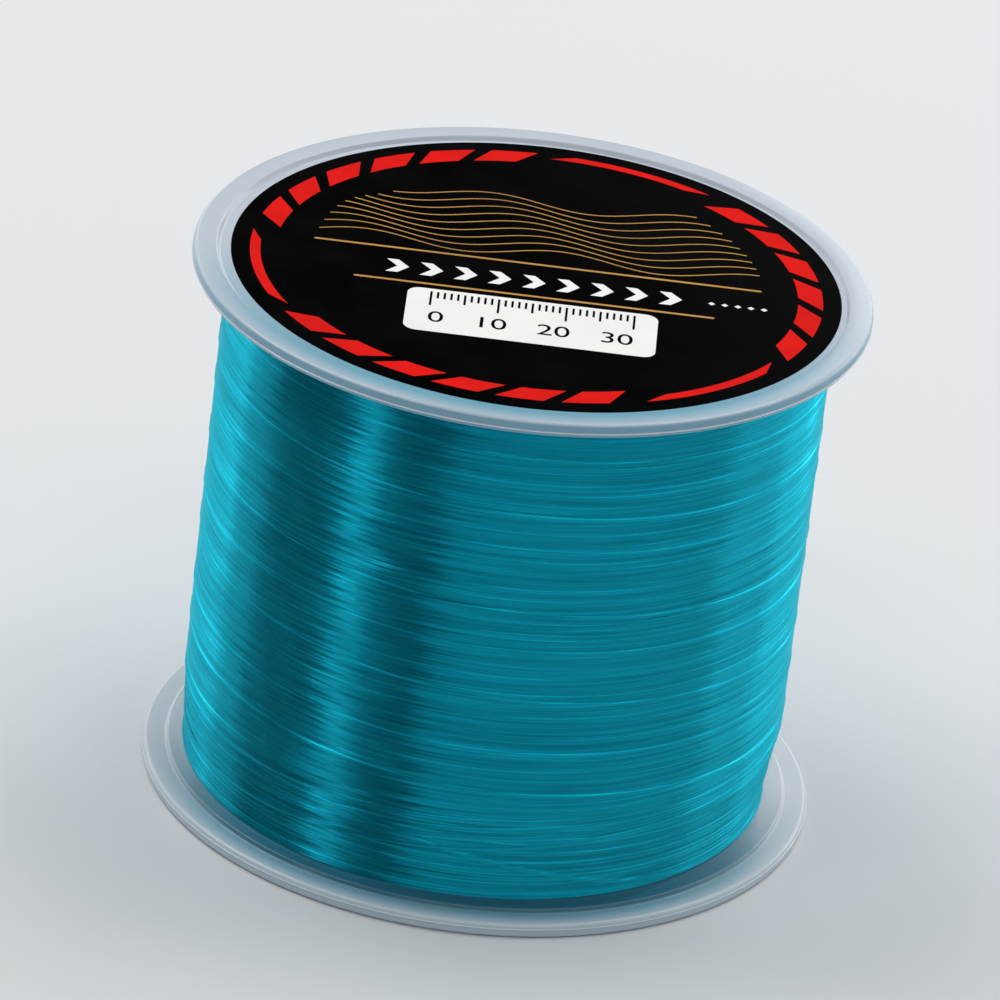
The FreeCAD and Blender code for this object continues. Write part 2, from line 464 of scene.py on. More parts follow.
nylon = {
    # each layer's copy of the same nylon is painted a little darker or lighter: painted shade on the under
    # layer, painted light on the core and the wraps
    "shades": {"line_dense": 1.0, "line_under": 0.9, "line_core": 1.04, "line_wrap": 1.06},
    "deep": (1, 143, 172),
    "bright": (5, 170, 198),
    # painted sheen: the base colour turns lighter cyan where the line is seen edge-on
    "edge": (44, 206, 226),
    "paintedSheenBlend": 0.22,
    "inner": 0.85,  # share of the light that the clear line throws back from inside
    "refraction": 1.53,
    "marks": {"Scale": 2.0},
    "roughness": (0.2, 0.28),
    "turns": {
        "Softness": 0.86,  # how much of each turn's roundness the light inside the line takes away
        "Lift": 0.48,  # how far the turns throw a reflection upwards
        "Sway": 0.07,  # how far, in radians, single turns throw a reflection sideways
    },
    "liftRange": (0.8, 1.25),
    "crossing": 0.7,
    "strands": (0.76, 1.2),  # darkest and lightest of the fine lines along the turns
    "strandScale": (60.0, 60.0, 4600.0),
    "strandNoise": (1.0, 4.0, 0.75),  # scale, detail and roughness
    "strandRange": (0.34, 0.66),
    "crest": 1.8,  # how much brighter the painted highlight line on a turn's upper side is
    "crestFrom": (0.1, 0.3),  # by how far the surface leans upwards
    "crestTo": (0.8, 0.55),
    # the painted highlight by the turn's tone, the fine lines and the view: start, end and the values there
    "crestTones": (0.0, 1.0, 0.35, 1.0),
    "crestBreaks": (0.0, 1.0, 0.25, 1.0),
    "crestView": (0.2, 0.55, 1.0, 0.2),
    "glanceTint": (0.45, 0.85, 0.9, 1.0),
}


def buildWoundNormal():
    # clear line scatters light among its turns, which softens how round each one looks
    outputs = {"Normal": "Vector", "Strands": "Float", "Painted Highlight": "Float"}
    group, given, result = shaderGroup("woundNormal", ("Softness", "Lift", "Sway"), outputs)
    place = objectPlace(group)
    tone = attribute(group, "turnTone")
    own = surfaceNormal(group)
    # fine lines that follow the turns, long round the drum and thin along the spindle
    shift = combined(group, z=attribute(group, "turnShift"))
    straight = vectorMaths(group, "SUBTRACT", place, shift)
    drawn = vectorMaths(group, "MULTIPLY", straight, nylon["strandScale"])
    strand = mapped(group, noise(group, drawn, *nylon["strandNoise"]), *nylon["strandRange"])
    # turns that lie a little crosswise fray the edges of a reflection
    crossing = mapped(group, strand, 0.0, 1.0, -nylon["crossing"], nylon["crossing"])
    fray = product(group, maths(group, "ADD", crossing, attribute(group, "turnSway")), given["Sway"])
    radial = rotated(group, vectorMaths(group, "NORMALIZE", flattened(group, place)), fray)
    mixing = {"Factor": given["Softness"], 4: own, 5: radial}
    mixed = addNode(group, "ShaderNodeMix", mixing, data_type="VECTOR")[1]
    # a painted highlight: a thin bright line on the upper side of each turn, which comes and goes on its way
    # round
    lean = separated(group, own)[2]
    shape = product(group, falloff(group, lean, nylon["crestFrom"]), falloff(group, lean, nylon["crestTo"]))
    share = falloff(group, tone, nylon["crestTones"])
    broken = falloff(group, strand, nylon["crestBreaks"])
    rise = product(group, mapped(group, tone, 0.0, 1.0, *nylon["liftRange"]), given["Lift"])
    lifted = vectorMaths(group, "ADD", mixed, combined(group, z=rise))
    connect(result["Normal"], vectorMaths(group, "NORMALIZE", lifted))
    connect(result["Strands"], strand)
    connect(result["Painted Highlight"], product(group, shape, product(group, share, broken)))
    return group


woundNormal = buildWoundNormal()


def tintedNylon(name):
    material, tree, shader = newMaterial(name)
    handled(tree, shader, nylon)
    wound = useGroup(tree, woundNormal, nylon["turns"])
    tone = mixColours(tree, attribute(tree, "turnTone"), linear(*nylon["deep"]), linear(*nylon["bright"]))
    facing = addNode(tree, "ShaderNodeLayerWeight", {"Blend": nylon["paintedSheenBlend"]})["Facing"]
    # painted sheen towards the edges as seen
    rim = mixColours(tree, facing, tone, linear(*nylon["edge"]))
    # the painted highlight line, laid into the base colour
    bright = product(tree, wound["Painted Highlight"], falloff(tree, facing, nylon["crestView"]))
    paintedHighlight = falloff(tree, bright, (0.0, 1.0, 1.0, nylon["crest"]))
    strands = mapped(tree, wound["Strands"], 0.0, 1.0, *nylon["strands"])
    lines = product(tree, strands, nylon["shades"][name], paintedHighlight)
    connect(shader["Base Color"], mixColours(tree, 1.0, rim, lines, blend="MULTIPLY"))
    connect(shader["Normal"], wound["Normal"])
    shader["Metallic"].default_value = nylon["inner"]
    shader["IOR"].default_value = nylon["refraction"]
    shader["Specular Tint"].default_value = nylon["glanceTint"]
    return material


frostedMaterial = frostedPlastic()
nylonDense, nylonUnder, nylonCore, nylonWrap = [tintedNylon(name) for name in nylon["shades"]]
inkBlack, inkRed, inkGold, inkWhite = [printedInk(name) for name in film["inks"]]
print("materials ready")


# Spool halves, in millimetres and degrees

flange = {
    "rimThickness": 1.15,
    "rimRound": 0.36,
    "parting": 0.1,  # ridge left where the two mould halves meet
    "partingHalf": 0.08,
    "partingHeight": 0.74,
    "partingRound": 0.04,
    "recessRadius": 24.0,
    "recessDepth": 0.4,
    "recessSlope": 0.26,
    "recessRound": 0.17,
    "edgeRound": 0.14,
    "webStep": 0.15,
}
drum = {
    "radius": 19.0,
    "wall": 1.6,
    "lap": 4.0,
    "lapWall": 0.8,
    "lapClearance": 0.05,
    "gap": 0.1,
    "boreRadius": 5.0,
    "tubeWall": 1.2,
    "collarWall": 1.0,
    "collarLength": 4.0,
    "collarClearance": 0.1,
    "ribs": 4,
    "ribThickness": 1.0,
    "ribInset": 1.0,
    "ribRound": 0.12,
    "gussetHeight": 8.0,
    "gussetSeat": 0.5,  # how far the gussets reach into the web
}
hook = {
    "count": 4,
    "span": 18.0,
    "thickness": 1.1,
    "length": 6.0,
    "barb": 2.0,
    "land": 0.5,  # straight part of the barb's face
    "reach": 1.0,
    "clearance": 0.1,
    "overlap": 0.3,  # how far a finger's root reaches into the drum's wall
    "windowSpan": 21.0,
    "windowClearance": 0.15,
    "windowMargin": 1.0,  # how far the cutting forms stand out of the drum's wall
}
slit = {
    "radius": 22.408,
    "angle": 55.53,
    "holeRadius": 0.5,
    "width": 0.35,
    "length": 6.0,
    "bottom": -0.5,
    "top": 3.0,
}
rounds = {"foot": 0.25, "end": 0.2, "collar": 0.15, "edge": 0.1, "barb": 0.05}

innerWall = drum["radius"] - drum["wall"]
joint = jointHeight / mm
lapBottom = joint - drum["lap"]
socketRadius = drum["radius"] - drum["lapWall"]
tubeRadius = drum["boreRadius"] + drum["tubeWall"]
upperWeb = upperWebFace / mm
hookTip = lapBottom - hook["length"]


def flangeCorners():
    # lower flange from the recess floor, round the rim, to the foot of the drum
    outer = flangeRadius / mm
    r = outer - flange["parting"]
    recess, slope = flange["recessRadius"], flange["recessSlope"] / 2
    height, half = flange["partingHeight"], flange["partingHalf"]
    return [
        (recess - slope, flange["recessDepth"], flange["recessRound"]),
        (recess + slope, 0, flange["recessRound"]),
        (r, 0, flange["rimRound"]),
        (r, height - half, 0),
        (outer, height, flange["partingRound"]),
        (r, height + half, 0),
        (r, flange["rimThickness"], flange["rimRound"]),
        (recess + flange["webStep"], flange["rimThickness"], flange["edgeRound"]),
        (recess, webFace / mm, flange["edgeRound"]),
        (drum["radius"], webFace / mm, 0),
    ]


def mirrored(corners):
    return [(r, spoolHeight / mm - z, fillet) for r, z, fillet in reversed(corners)]


def radialRibs(inner, outer, low, high, rounding=0.0):
    # ribs between two radii and two heights, evenly spaced
    half = drum["ribThickness"] / 2
    start, end = (inner, -half, low), (outer, half, high)
    return [boxBmesh(start, end, i * 360 / drum["ribs"], rounding) for i in range(drum["ribs"])]


def betweenRibs(corners, span):
    # sectors of a turned section in the middle between the ribs
    return [sectorBmesh(corners, span, (i + 0.5) * 360 / hook["count"]) for i in range(hook["count"])]


def buildLowerHalf():
    body = [
        (innerWall, flange["recessDepth"], rounds["end"]),
        *flangeCorners(),
        (drum["radius"], joint, rounds["edge"]),
        (socketRadius, joint, rounds["edge"]),
        (socketRadius, lapBottom, 0),
        (innerWall, lapBottom, 0),
    ]
    bore = drum["boreRadius"]
    tubeTop = upperWeb - drum["gap"]
    tube = [
        (bore, flange["recessDepth"], rounds["foot"]),
        (tubeRadius, flange["recessDepth"], rounds["foot"]),
        (tubeRadius, tubeTop, rounds["end"]),
        (bore, tubeTop, rounds["end"]),
    ]
    ribs = radialRibs(bore + drum["tubeWall"] / 2, innerWall + drum["lapWall"] / 2,
                      flange["recessDepth"] + drum["ribInset"], lapBottom - drum["gap"], drum["ribRound"])
    low = hookTip - hook["windowClearance"]
    high = hookTip + hook["barb"] + hook["windowClearance"]
    inside, outside = innerWall - hook["windowMargin"], drum["radius"] + hook["windowMargin"]
    windows = betweenRibs([(inside, low, 0), (outside, low, 0), (outside, high, 0), (inside, high, 0)],
                          hook["windowSpan"])
    near, half = slit["radius"], slit["width"] / 2
    far = near + slit["length"]
    tailSlit = boxBmesh((near, -half, slit["bottom"]), (far, half, slit["top"]), slit["angle"])
    tailHole = rodBmesh(slit["holeRadius"], slit["bottom"], slit["top"], near, slit["angle"])
    added = [latheBmesh(tube, segments=96), *ribs]
    return moulded("lower_half", latheBmesh(body), added, [*windows, tailSlit, tailHole])


def buildUpperHalf():
    spigot = socketRadius - drum["lapClearance"]
    seat = lapBottom + drum["gap"]
    collarInner = tubeRadius + drum["collarClearance"]
    collarOuter = collarInner + drum["collarWall"]
    collarBottom = upperWeb - drum["collarLength"]
    body = [
        (drum["boreRadius"], upperWeb, rounds["edge"]),
        (collarInner, upperWeb, 0),
        (collarInner, collarBottom, rounds["collar"]),
        (collarOuter, collarBottom, rounds["collar"]),
        (collarOuter, upperWeb, rounds["end"]),
        (innerWall, upperWeb, rounds["end"]),
        (innerWall, seat, rounds["edge"]),
        (spigot, seat, rounds["end"]),
        (spigot, joint + drum["gap"], 0),
        (drum["radius"], joint + drum["gap"], rounds["edge"]),
        *mirrored(flangeCorners()),
        (drum["boreRadius"], spoolHeight / mm - flange["recessDepth"], rounds["edge"]),
    ]
    gussets = radialRibs(collarInner + drum["collarWall"] / 2, innerWall + drum["wall"] / 2,
                         upperWeb - drum["gussetHeight"], upperWeb + drum["gussetSeat"])
    outer = innerWall - hook["clearance"]
    catch = hookTip + hook["barb"]
    root = innerWall + hook["overlap"]
    finger = [
        (outer - hook["thickness"], joint - hook["overlap"], 0),
        (outer - hook["thickness"], hookTip, rounds["end"]),
        (outer - hook["thickness"] / 2, hookTip, rounds["edge"]),
        (innerWall + hook["reach"], catch - hook["land"], rounds["edge"]),
        (innerWall + hook["reach"], catch, rounds["barb"]),
        (outer, catch, 0),
        (outer, seat + hook["overlap"], 0),
        (root, seat + hook["overlap"], 0),
        (root, joint - hook["overlap"], 0),
    ]
    return moulded("upper_half", latheBmesh(body), gussets + betweenRibs(finger, hook["span"]), [])


for name, mesh, node in (("lower_half", buildLowerHalf(), "lower_spool_half"),
                         ("upper_half", buildUpperHalf(), "upper_spool_half")):
    addPiece(name, mesh, frostedMaterial, [node])
    print(name, len(mesh.polygons))


# Helpers for geometry nodes

def geometryTree(name, numbers, counts):
    inputs = {"Geometry": "Geometry", **dict.fromkeys(numbers, "Float"), **dict.fromkeys(counts, "Int")}
    return newTree(name, "GeometryNodeTree", {**inputs, "Material": "Material"}, {"Geometry": "Geometry"})


def unrest(tree, vector, scale):
    return maths(tree, "SUBTRACT", noise(tree, vector, scale), 0.5)


def resampled(tree, curve, count):
    return addNode(tree, "GeometryNodeResampleCurve", {"Curve": curve, "Count": count})[0]


def placed(tree, geometry, position):
    return addNode(tree, "GeometryNodeSetPosition", {"Geometry": geometry, "Position": position})[0]


def stored(tree, geometry, name, value):
    inputs = {"Geometry": geometry, "Name": name, "Value": value}
    return addNode(tree, "GeometryNodeStoreNamedAttribute", inputs, data_type="FLOAT", domain="POINT")[0]


def swept(tree, curve, profile):
    inputs = {"Curve": curve, "Profile Curve": profile, "Fill Caps": True}
    return addNode(tree, "GeometryNodeCurveToMesh", inputs)[0]


def sweptLine(tree, g, curve, flatness):
    # the line's section, which may be shallow from front to back, along a curve
    steady = addNode(tree, "GeometryNodeSetCurveNormal", {"Curve": curve}, mode="Z_UP")[0]
    circle = {"Resolution": g["Sides"], "Radius": g["Line Radius"]}
    profile = addNode(tree, "GeometryNodeCurvePrimitiveCircle", circle)[0]
    pressing = {"Geometry": profile, "Scale": combined(tree, flatness, 1.0, 1.0)}
    return swept(tree, steady, addNode(tree, "GeometryNodeTransform", pressing)[0])


def sweptBand(tree, g, curve):
    # a flat printed band along a curve
    inputs = {"Width": g["Width"], "Height": g["Thickness"]}
    return swept(tree, curve, addNode(tree, "GeometryNodeCurvePrimitiveQuadrilateral", inputs)[0])


def instanced(tree, count, position, instance, rotation=(0.0, 0.0, 0.0)):
    points = addNode(tree, "GeometryNodePoints", {"Count": count, "Position": position})[0]
    inputs = {"Points": points, "Instance": instance, "Rotation": rotation}
    return addNode(tree, "GeometryNodeInstanceOnPoints", inputs)[0]


def realized(tree, geometry):
    return addNode(tree, "GeometryNodeRealizeInstances", {0: geometry})[0]


def closeTree(tree, g, geometry, output):
    # the ending that every tree here shares
    smooth = addNode(tree, "GeometryNodeSetShadeSmooth", {"Geometry": geometry})[0]
    paint = {"Geometry": realized(tree, smooth), "Material": g["Material"]}
    connect(output["Geometry"], addNode(tree, "GeometryNodeSetMaterial", paint)[0])
    return tree


def socketId(tree, label):
    for item in tree.interface.items_tree:
        if item.item_type == "SOCKET" and item.in_out == "INPUT" and item.name == label:
            return item.identifier
    raise KeyError(label)


def treeMesh(name, tree, values, data=None):
    # runs a tree once with the given inputs and keeps the result as a plain mesh
    source = addObject(name, data or bpy.data.meshes.new(name))
    modifier = source.modifiers.new(tree.name, "NODES")
    modifier.node_group = tree
    for label, value in values.items():
        modifier[socketId(tree, label)] = value
    return bakedMesh(source, name)


# Wound line

variety = {
    # pairs are places and scales in the noise, which is the same each time
    "around": 0.7,  # how much a turn changes on its way round
    "between": 2.3,  # and from each turn to the next
    "height": 1.0,
    "radius": ((11.0, 5.0, 31.0), 1.3),
    "sway": ((23.0, 2.0, 13.0), 1.6),
    "tone": ((3.0, 17.0, 7.0), 1.0),
    "group": (95.0, 2.6),
    "swaying": 2.4,
    "toneRange": (-0.22, 0.25),
    "leanPower": 1.6,  # the more, the later the last turns start to lean
}


def buildWoundTurns():
    # one layer: turns that run down the drum, then a tail that drops faster
    numbers = (
        "Turns", "Tail Turns", "Start Angle", "Radius", "Top", "Bottom", "Tail Bottom", "Shoulder Top",
        "Shoulder Foot", "Shoulder Drop", "Drop Swing", "Tilted Turns", "Tilt", "Wander", "Lift",
        "Line Radius", "Flatness", "Seed",
    )
    tree, g, output = geometryTree("woundTurns", numbers, ("Steps Per Turn", "Sides"))
    allTurns = maths(tree, "ADD", g["Turns"], g["Tail Turns"])
    count = maths(tree, "ADD", product(tree, allTurns, g["Steps Per Turn"]), 1.0)
    base = addNode(tree, "GeometryNodeCurvePrimitiveLine")[0]
    curve = resampled(tree, base, count)
    turn = product(tree, addNode(tree, "GeometryNodeSplineParameter")["Factor"], allTurns)
    angle = maths(tree, "ADD", product(tree, turn, 2 * pi), g["Start Angle"])
    cosine = maths(tree, "COSINE", angle)
    sine = maths(tree, "SINE", angle)
    packed = mapped(tree, turn, 0.0, g["Turns"], g["Top"], g["Bottom"])
    tailDrop = maths(tree, "SUBTRACT", g["Bottom"], g["Tail Bottom"])
    drop = mapped(tree, turn, g["Turns"], allTurns, 0.0, tailDrop, kind="SMOOTHSTEP")
    # the last turns lean over, so they lie lower on the left than on the right
    leaning = mapped(tree, turn, maths(tree, "SUBTRACT", g["Turns"], g["Tilted Turns"]), g["Turns"])
    leftness = mapped(tree, cosine, 1.0, -1.0, 0.0, g["Tilt"])
    lean = product(tree, maths(tree, "POWER", leaning, variety["leanPower"]), leftness)
    lowest = maths(tree, "SUBTRACT", maths(tree, "SUBTRACT", packed, drop), lean)
    height = maths(tree, "MAXIMUM", lowest, g["Tail Bottom"])
    # neighbours differ, and each turn changes slowly along its way round
    around = [product(tree, wave, variety["around"]) for wave in (cosine, sine)]
    here = combined(tree, *around, maths(tree, "ADD", product(tree, turn, variety["between"]), g["Seed"]))

    def differing(name):
        offset, scale = variety[name]
        return unrest(tree, vectorMaths(tree, "ADD", here, offset), scale)

    wavyHeight = maths(tree, "MULTIPLY_ADD", unrest(tree, here, variety["height"]), g["Wander"], height)
    dropHere = maths(tree, "MULTIPLY_ADD", cosine, g["Drop Swing"], g["Shoulder Drop"])
    fall = mapped(tree, wavyHeight, g["Shoulder Top"], g["Shoulder Foot"], 0.0, dropHere)
    level = maths(tree, "SUBTRACT", g["Radius"], fall)
    radius = maths(tree, "MULTIPLY_ADD", differing("radius"), g["Lift"], level)
    position = combined(tree, product(tree, cosine, radius), product(tree, sine, radius), wavyHeight)
    # a whole group of turns leans one way, and single turns differ within it
    size, scale = variety["group"]
    broad = unrest(tree, scaled(tree, position, size), scale)
    swaying = product(tree, maths(tree, "ADD", broad, differing("sway")), variety["swaying"])
    tone = mapped(tree, differing("tone"), *variety["toneRange"])
    line = placed(tree, curve, position)
    line = stored(tree, line, "turnTone", tone)
    line = stored(tree, line, "turnSway", swaying)
    line = stored(tree, line, "turnShift", maths(tree, "SUBTRACT", wavyHeight, packed))
    return closeTree(tree, g, sweptLine(tree, g, line, g["Flatness"]), output)


woundTurns = buildWoundTurns()
bothLayers = {
    "Shoulder Top": 8.3 * mm,
    "Shoulder Foot": webFace,
    "Shoulder Drop": 0.6 * mm,
    "Drop Swing": 0.3 * mm,
    "Tail Bottom": webFace + 0.24 * mm,
    "Tilted Turns": 9.0,
    "Line Radius": lineRadius,
    "Flatness": 0.34,  # only the outsides of the turns show
}
denseLayer = {
    "Turns": 72.5,
    "Tail Turns": 0.95,
    "Start Angle": radians(180.0),
    "Radius": 23.128 * mm,
    "Top": upperWebFace - 0.27 * mm,
    "Bottom": 7.9 * mm,
    "Tilt": 4.6 * mm,
    "Wander": 0.17 * mm,
    "Lift": 0.05 * mm,
    "Steps Per Turn": 110,
    "Sides": 10,
    "Seed": 3.1,
}
underLayer = {
    "Turns": 19.0,
    "Start Angle": radians(40.0),
    "Radius": 23.04 * mm,
    "Top": 9.4 * mm,
    "Bottom": bothLayers["Tail Bottom"],
    "Wander": 0.3 * mm,
    "Lift": 0.12 * mm,
    "Steps Per Turn": 120,
    "Sides": 8,
    "Seed": 9.7,
}
ground = {
    "clearance": 0.05,
    "footRadius": 22.1,
    "footRound": 0.2,
    "kneeRadius": 22.95,
    "kneeHeight": 7.6,
    "radius": 23.177,
    "fullHeight": 8.8,
    "topRound": 0.05,
    "tone": 0.5,
}


def buildCore():
    # the layers that only show as an even ground between the turns
    inner = drum["radius"] + ground["clearance"]
    base = webFace / mm + ground["clearance"]
    top = upperWeb - ground["clearance"]
    corners = [
        (inner, base, 0),
        (ground["footRadius"], base, ground["footRound"]),
        (ground["kneeRadius"], ground["kneeHeight"], 0),
        (ground["radius"], ground["fullHeight"], 0),
        (ground["radius"], top, ground["topRound"]),
        (inner, top, 0),
    ]
    mesh = finishedMesh(latheBmesh(corners), "line_core")
    tone = mesh.attributes.new("turnTone", "FLOAT", "POINT")
    tone.data.foreach_set("value", [ground["tone"]] * len(mesh.vertices))
    return mesh


addPiece("line_core", buildCore(), nylonCore, ["line_inner_layers"])
for name, layer, material in (("line_dense_layer", denseLayer, nylonDense),
                              ("line_under_layer", underLayer, nylonUnder)):
    mesh = treeMesh(name, woundTurns, {**bothLayers, **layer, "Material": material})
    addPiece(name, mesh, material, ["line_inner_layers"])
    print(name, len(mesh.polygons))


# Outermost wraps and the running end, in millimetres and degrees

wrap = {
    "turns": 8.5,
    "startAngle": 54.0,
    "top": 0.625,  # below the upper flange's face
    "lowest": 5.6,  # above the lower flange's face
    "swing": (0.9, 2.7, 0.4),  # how far the wraps stray, with radians a turn and radians at the start
    "shoulderHeight": 6.8,
    "tailRadius": 22.4,
    "seat": 0.255,
    "sunk": 0.02,  # how far the wraps press into the turns under them
    "bend": 0.6,
    "bendSteps": 6,
    "startDepth": 0.45,
    "stepsPerTurn": 72,
    "endHeight": 0.15,
    "sides": 12,
    "seed": 4.0,
    "toneScale": 14.0,
    "toneRange": (-0.2, 0.2, 0.3, 1.0),
}


def eased(share):
    return share * share * (3 - 2 * share)


def wrapPath():
    # fast wraps over the dense layer, down the shoulder and along the lower flange to the slit
    quarter = 0.25
    high = upperWeb - wrap["top"]
    low = webFace / mm + wrap["lowest"]
    seated = webFace / mm + wrap["seat"]
    outside = woundRadius / mm - lineRadius / mm - wrap["sunk"]
    reach, rate, start = wrap["swing"]
    points = []
    turnsInAll = wrap["turns"] + 2 * quarter
    steps = round(turnsInAll * wrap["stepsPerTurn"])
    for i in range(steps + 1):
        turn = turnsInAll * i / steps
        angle = radians(wrap["startAngle"] + 360 * turn)
        even = min(turn / wrap["turns"], 1.0)
        uneven = reach * sin(rate * turn + start) * sin(pi * even)
        height = high + (low - high) * even + uneven
        if turn > wrap["turns"]:
            height = low + (seated - low) * eased(min((turn - wrap["turns"]) / quarter, 1.0))
        dropHere = (bothLayers["Shoulder Drop"] + bothLayers["Drop Swing"] * cos(angle)) / mm
        below = max(0.0, (bothLayers["Shoulder Top"] / mm - height) / wrap["shoulderHeight"])
        radius = outside - below * dropHere
        if turn > wrap["turns"] + quarter:
            radius += (wrap["tailRadius"] - radius) * eased((turn - wrap["turns"] - quarter) / quarter)
        points.append(Vector((radius * cos(angle), radius * sin(angle), height)))

    def bent(end, onward, towards, k):
        # a point of the quarter bend that leads from onward to towards
        a = pi / 2 * k / wrap["bendSteps"]
        return end + onward * wrap["bend"] * sin(a) + towards * wrap["bend"] * (1 - cos(a))

    first, last = points[0], points[-1]
    onward = (last - points[-2]).normalized()
    back = (first - points[1]).normalized()
    angle = radians(wrap["startAngle"])
    inwards = -Vector((cos(angle), sin(angle), 0))
    bendSteps = range(1, wrap["bendSteps"] + 1)
    start = [bent(first, back, inwards, k) for k in reversed(bendSteps)]
    end = [bent(last, onward, Vector((0, 0, -1)), k) for k in bendSteps]
    start.insert(0, start[0] + inwards * wrap["startDepth"])
    end.append(Vector((end[-1].x, end[-1].y, wrap["endHeight"])))
    return [p * mm for p in start + points + end]


def pathCurve(name, points):
    curve = bpy.data.curves.new(name, "CURVE")
    curve.dimensions = "3D"
    spline = curve.splines.new("POLY")
    spline.points.add(len(points) - 1)
    for target, p in zip(spline.points, points):
        target.co = (*p, 1.0)
    return curve


def buildLineAlong():
    # line swept along the curve that it is given
    tree, g, output = geometryTree("lineAlong", ("Line Radius", "Seed"), ("Sides",))
    length = addNode(tree, "GeometryNodeSplineParameter")["Length"]
    place = combined(tree, product(tree, length, wrap["toneScale"]), g["Seed"])
    tone = mapped(tree, unrest(tree, place, 1.0), *wrap["toneRange"])
    line = stored(tree, g["Geometry"], "turnTone", tone)
    return closeTree(tree, g, sweptLine(tree, g, line, 1.0), output)


values = {"Line Radius": lineRadius, "Sides": wrap["sides"], "Seed": wrap["seed"], "Material": nylonWrap}
wraps = treeMesh("line_wraps", buildLineAlong(), values, data=pathCurve("wrapPath", wrapPath()))
addPiece("line_wraps", wraps, nylonWrap, ["line_outer_layer"])
print("line_wraps", len(wraps.polygons))


# Label

ink = 0.02  # thickness of the print
label = {
    "radius": (labelBox[1][0] - labelBox[0][0]) / 2 / mm,
    "centre": ((labelBox[0][0] + labelBox[1][0]) / 2, (labelBox[0][1] + labelBox[1][1]) / 2, 0),
    "bottom": labelBox[0][2] / mm,
    "top": labelBox[1][2] / mm - ink,
    "edgeRounds": (0.03, 0.05),
    "barSteps": 24,
    "waveSteps": 80,
}
printHeight = label["top"] + ink / 2  # middle of the print that lies on the film


def addPrint(name, mesh, material):
    # puts a mesh that was made about its own centre onto the label
    mesh.transform(Matrix.Translation(label["centre"]))
    addPiece(name, mesh, material, ["top_label"])


def buildFilm():
    r, bottom, top = label["radius"], label["bottom"], label["top"]
    low, high = label["edgeRounds"]
    corners = [(0, bottom, 0), (r, bottom, low), (r, top, high), (0, top, 0)]
    return finishedMesh(latheBmesh(corners), "label_film")


def buildBarsOnRing():
    # slanted printed bars, evenly spaced on part of a ring
    numbers = ("First Angle", "Step", "Radius", "Width", "Sweep", "Slant", "Height", "Thickness")
    tree, g, output = geometryTree("barsOnRing", numbers, ("Count",))
    span = {"Radius": g["Radius"], "Start Angle": product(tree, g["Sweep"], -0.5), "Sweep Angle": g["Sweep"]}
    span["Resolution"] = label["barSteps"]
    arc = addNode(tree, "GeometryNodeCurveArc", span, mode="RADIUS")[0]
    # slanted ends: the outside of a bar is turned further than its inside
    position = addNode(tree, "GeometryNodeInputPosition")[0]
    offset = maths(tree, "SUBTRACT", vectorMaths(tree, "LENGTH", position), g["Radius"])
    twist = product(tree, maths(tree, "DIVIDE", offset, g["Width"]), g["Slant"])
    bar = placed(tree, sweptBand(tree, g, arc), rotated(tree, position, twist))
    index = addNode(tree, "GeometryNodeInputIndex")[0]
    turned = maths(tree, "ADD", product(tree, index, g["Step"]), g["First Angle"])
    bars = instanced(tree, g["Count"], combined(tree, z=g["Height"]), bar, combined(tree, z=turned))
    return closeTree(tree, g, bars, output)


def buildWaveLines():
    # thin printed wave lines, one above another, that end on a circle
    numbers = ("First", "Spacing", "Reach", "Wave Height", "Wave Length", "Phase Shift", "Width", "Height",
               "Thickness")
    tree, g, output = geometryTree("waveLines", numbers, ("Count",))
    ends = {"Start": (-1, 0, 0), "End": (1, 0, 0)}
    base = addNode(tree, "GeometryNodeCurvePrimitiveLine", ends)[0]
    straight = resampled(tree, base, label["waveSteps"])
    index = addNode(tree, "GeometryNodeInputIndex")[0]
    row = combined(tree, y=maths(tree, "ADD", product(tree, index, g["Spacing"]), g["First"]))
    rows = realized(tree, instanced(tree, g["Count"], row, straight))
    along, across = separated(tree, addNode(tree, "GeometryNodeInputPosition")[0])[:2]
    left = maths(tree, "SUBTRACT", product(tree, g["Reach"], g["Reach"]), product(tree, across, across))
    x = product(tree, along, maths(tree, "SQRT", maths(tree, "MAXIMUM", left, 0.0)))
    phase = product(tree, maths(tree, "DIVIDE", x, g["Wave Length"]), 2 * pi)
    shifted = maths(tree, "ADD", phase, product(tree, across, g["Phase Shift"]))
    y = maths(tree, "MULTIPLY_ADD", maths(tree, "SINE", shifted), g["Wave Height"], across)
    waves = placed(tree, rows, combined(tree, x, y, g["Height"]))
    return closeTree(tree, g, sweptBand(tree, g, waves), output)


def roundedOutline(width, depth, corner, x, y, steps=8):
    rim = []
    for cx, cy, first in ((1, 1, 0), (-1, 1, 90), (-1, -1, 180), (1, -1, 270)):
        for k in range(steps + 1):
            a = radians(first + 90 * k / steps)
            rim.append((x + cx * (width / 2 - corner) + corner * cos(a),
                        y + cy * (depth / 2 - corner) + corner * sin(a)))
    return rim


def printedText(words, size, x, y, middle):
    # plain figures as a closed mesh, centred at x, y
    text = bpy.data.curves.new("figures", "FONT")
    text.body = words
    text.size = size * mm
    text.align_x = "CENTER"
    text.align_y = "CENTER"
    text.extrude = ink / 2 * mm
    mesh = bakedMesh(addObject("figures", text), "figures")
    mesh.transform(Matrix.Translation((x * mm, y * mm, middle * mm)))
    return mesh


def slabMesh(outline, middle=label["top"]):
    # a flat closed print with the given outline in millimetres, sunk halfway into the film
    bm = bmesh.new()
    bottom = [bm.verts.new((x * mm, y * mm, (middle - ink / 2) * mm)) for x, y in outline]
    top = [bm.verts.new((x * mm, y * mm, (middle + ink / 2) * mm)) for x, y in outline]
    bm.faces.new(top)
    bm.faces.new(list(reversed(bottom)))
    for i in range(len(outline)):
        j = (i + 1) % len(outline)
        bm.faces.new((bottom[i], bottom[j], top[j], top[i]))
    return meshFrom(bm, "slab")


def joined(meshes, name):
    bm = bmesh.new()
    for mesh in meshes:
        bm.from_mesh(mesh)
        bpy.data.meshes.remove(mesh)
    mesh = meshFrom(bm, name)
    mesh.polygons.foreach_set("use_smooth", [False] * len(mesh.polygons))
    return mesh


